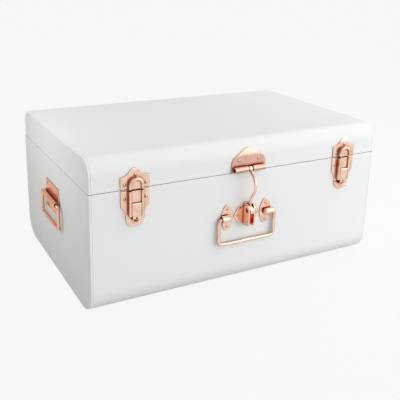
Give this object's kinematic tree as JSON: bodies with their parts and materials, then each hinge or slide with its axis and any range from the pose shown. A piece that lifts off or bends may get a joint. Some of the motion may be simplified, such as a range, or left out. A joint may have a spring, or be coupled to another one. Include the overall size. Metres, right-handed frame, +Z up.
{
  "type": "storage trunk",
  "caption": "Painted sheet-steel storage trunk with a hinged lid, sliding-bolt latches, a padlock hasp, a front bail and bail handles on both ends.",
  "frame": {"origin": "the middle of the flat underside", "axes": "+X along the front towards the right end, -Y out of the front with the latches, +Z up"},
  "size_m": [0.582, 0.4101, 0.258],
  "materials": {
    "white_steel": "satin white powder coat",
    "copper_plate": "polished copper-coloured plate on steel",
    "zinc_steel": "plain zinc plate on steel"
  },
  "bodies": {
    "base": {"base_wrap": "white_steel", "base_end_left": "white_steel", "base_end_right": "white_steel", "latch_plate_rivets": "copper_plate", "lock_plate": "copper_plate", "lock_jaw": "copper_plate", "lock_rivets": "copper_plate", "front_bail_bracket_left": "copper_plate", "front_bail_bracket_right": "copper_plate", "front_bail_rivets": "copper_plate", "handle_rivets": "copper_plate", "hinge_base_rivets": "copper_plate", "left_latch_plate": "copper_plate", "left_latch_pin": "copper_plate", "left_handle_plate": "copper_plate", "left_handle_clip": "copper_plate", "left_hinge_base_leaf": "copper_plate", "left_hinge_pin": "copper_plate", "right_latch_plate": "copper_plate", "right_latch_pin": "copper_plate", "right_handle_plate": "copper_plate", "right_handle_clip": "copper_plate", "right_hinge_base_leaf": "copper_plate", "right_hinge_pin": "copper_plate", "stay_guide_studs": "zinc_steel"},
    "lid": {"lid_wrap": "white_steel", "lid_end_left": "white_steel", "lid_end_right": "white_steel", "left_latch_strike": "copper_plate", "right_latch_strike": "copper_plate", "latch_strike_rivets": "copper_plate", "hasp_plate": "copper_plate", "hasp_pin": "copper_plate", "hasp_rivets": "copper_plate", "left_hinge_lid_leaf": "copper_plate", "right_hinge_lid_leaf": "copper_plate", "hinge_lid_rivets": "copper_plate", "stay_pivot_studs": "zinc_steel"},
    "left_latch_lever": {"left_latch_lever": "copper_plate"},
    "right_latch_lever": {"right_latch_lever": "copper_plate"},
    "left_latch_bolt": {"left_latch_bolt": "copper_plate"},
    "right_latch_bolt": {"right_latch_bolt": "copper_plate"},
    "hasp_arm": {"hasp_arm": "copper_plate"},
    "front_bail": {"front_bail": "copper_plate"},
    "left_handle_bail": {"left_handle_bail": "copper_plate"},
    "right_handle_bail": {"right_handle_bail": "copper_plate"},
    "left_stay": {"left_stay": "zinc_steel"},
    "right_stay": {"right_stay": "zinc_steel"}
  },
  "joints": [
    {"name": "lid_hinge", "type": "hinge", "parent": "base", "child": "lid", "pos_m": [0, 0.1871, 0.2096], "axis": [-1, 0, 0], "range_deg": [0, 100]},
    {"name": "left_stay_pivot", "type": "hinge", "parent": "lid", "child": "left_stay", "pos_m": [-0.27665, 0.09847, 0.22523], "axis": [-1, 0, 0], "range_deg": [-50, 0]},
    {"name": "right_stay_pivot", "type": "hinge", "parent": "lid", "child": "right_stay", "pos_m": [0.27665, 0.09847, 0.22523], "axis": [-1, 0, 0], "range_deg": [-50, 0]},
    {"name": "left_lever_pivot", "type": "hinge", "parent": "base", "child": "left_latch_lever", "pos_m": [-0.205, -0.196, 0.182], "axis": [-1, 0, 0], "range_deg": [0, 50]},
    {"name": "left_bolt_slide", "type": "slide", "parent": "base", "child": "left_latch_bolt", "axis": [0, 0, 1], "range_m": [-0.0036, 0]},
    {"name": "right_lever_pivot", "type": "hinge", "parent": "base", "child": "right_latch_lever", "pos_m": [0.205, -0.196, 0.182], "axis": [-1, 0, 0], "range_deg": [0, 50]},
    {"name": "right_bolt_slide", "type": "slide", "parent": "base", "child": "right_latch_bolt", "axis": [0, 0, 1], "range_m": [-0.0036, 0]},
    {"name": "hasp_pivot", "type": "hinge", "parent": "lid", "child": "hasp_arm", "pos_m": [0, -0.1961, 0.2113], "axis": [-1, 0, 0], "range_deg": [0, 120]},
    {"name": "front_bail_pivot", "type": "hinge", "parent": "base", "child": "front_bail", "pos_m": [0, -0.19565, 0.1272], "axis": [-1, 0, 0], "range_deg": [0, 95]},
    {"name": "left_handle_pivot", "type": "hinge", "parent": "base", "child": "left_handle_bail", "pos_m": [-0.2864, 0, 0.1365], "axis": [0, 1, 0], "range_deg": [0, 90]},
    {"name": "right_handle_pivot", "type": "hinge", "parent": "base", "child": "right_handle_bail", "pos_m": [0.2864, 0, 0.1365], "axis": [0, -1, 0], "range_deg": [0, 90]}
  ],
  "couplings": [
    {"joint": "left_stay_pivot", "follows": "lid_hinge", "ratio": -0.5},
    {"joint": "right_stay_pivot", "follows": "lid_hinge", "ratio": -0.5},
    {"joint": "left_bolt_slide", "follows": "left_lever_pivot", "m_per_rad": -0.004},
    {"joint": "right_bolt_slide", "follows": "right_lever_pivot", "m_per_rad": -0.004}
  ]
}
